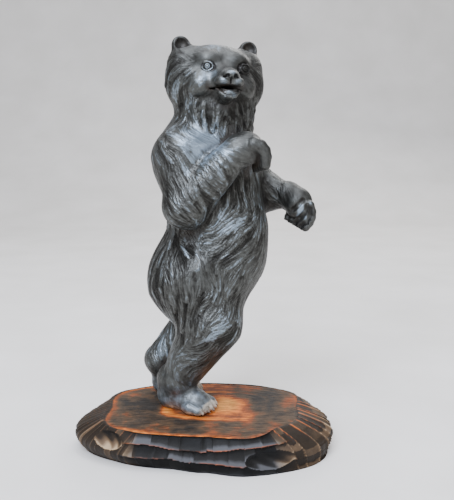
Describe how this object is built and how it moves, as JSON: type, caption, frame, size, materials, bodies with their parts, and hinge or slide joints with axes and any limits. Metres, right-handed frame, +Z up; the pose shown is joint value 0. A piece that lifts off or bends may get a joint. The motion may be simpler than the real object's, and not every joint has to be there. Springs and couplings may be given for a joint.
{
  "type": "bear figurine",
  "caption": "Standing bear cast in patinated spelter, head turned to the front, one paw raised and one held out, on a carved and scorched oval wooden plinth.",
  "frame": {"origin": "middle of the plinth's underside", "axes": "+Z up; X along the plinth's length, +X the way the bear's body walks; -Y the front, where the head looks"},
  "size_m": [0.2082, 0.1354, 0.319],
  "materials": {
    "patinated_spelter": "dark blue-grey patina over zinc alloy, satin, brighter on the raised fur",
    "scorched_wood": "gouge carved, orange-brown top with dark bands, charred black sides, dull"
  },
  "bodies": {
    "root": {"bear": "patinated_spelter", "plinth": "scorched_wood"}
  },
  "joints": []
}
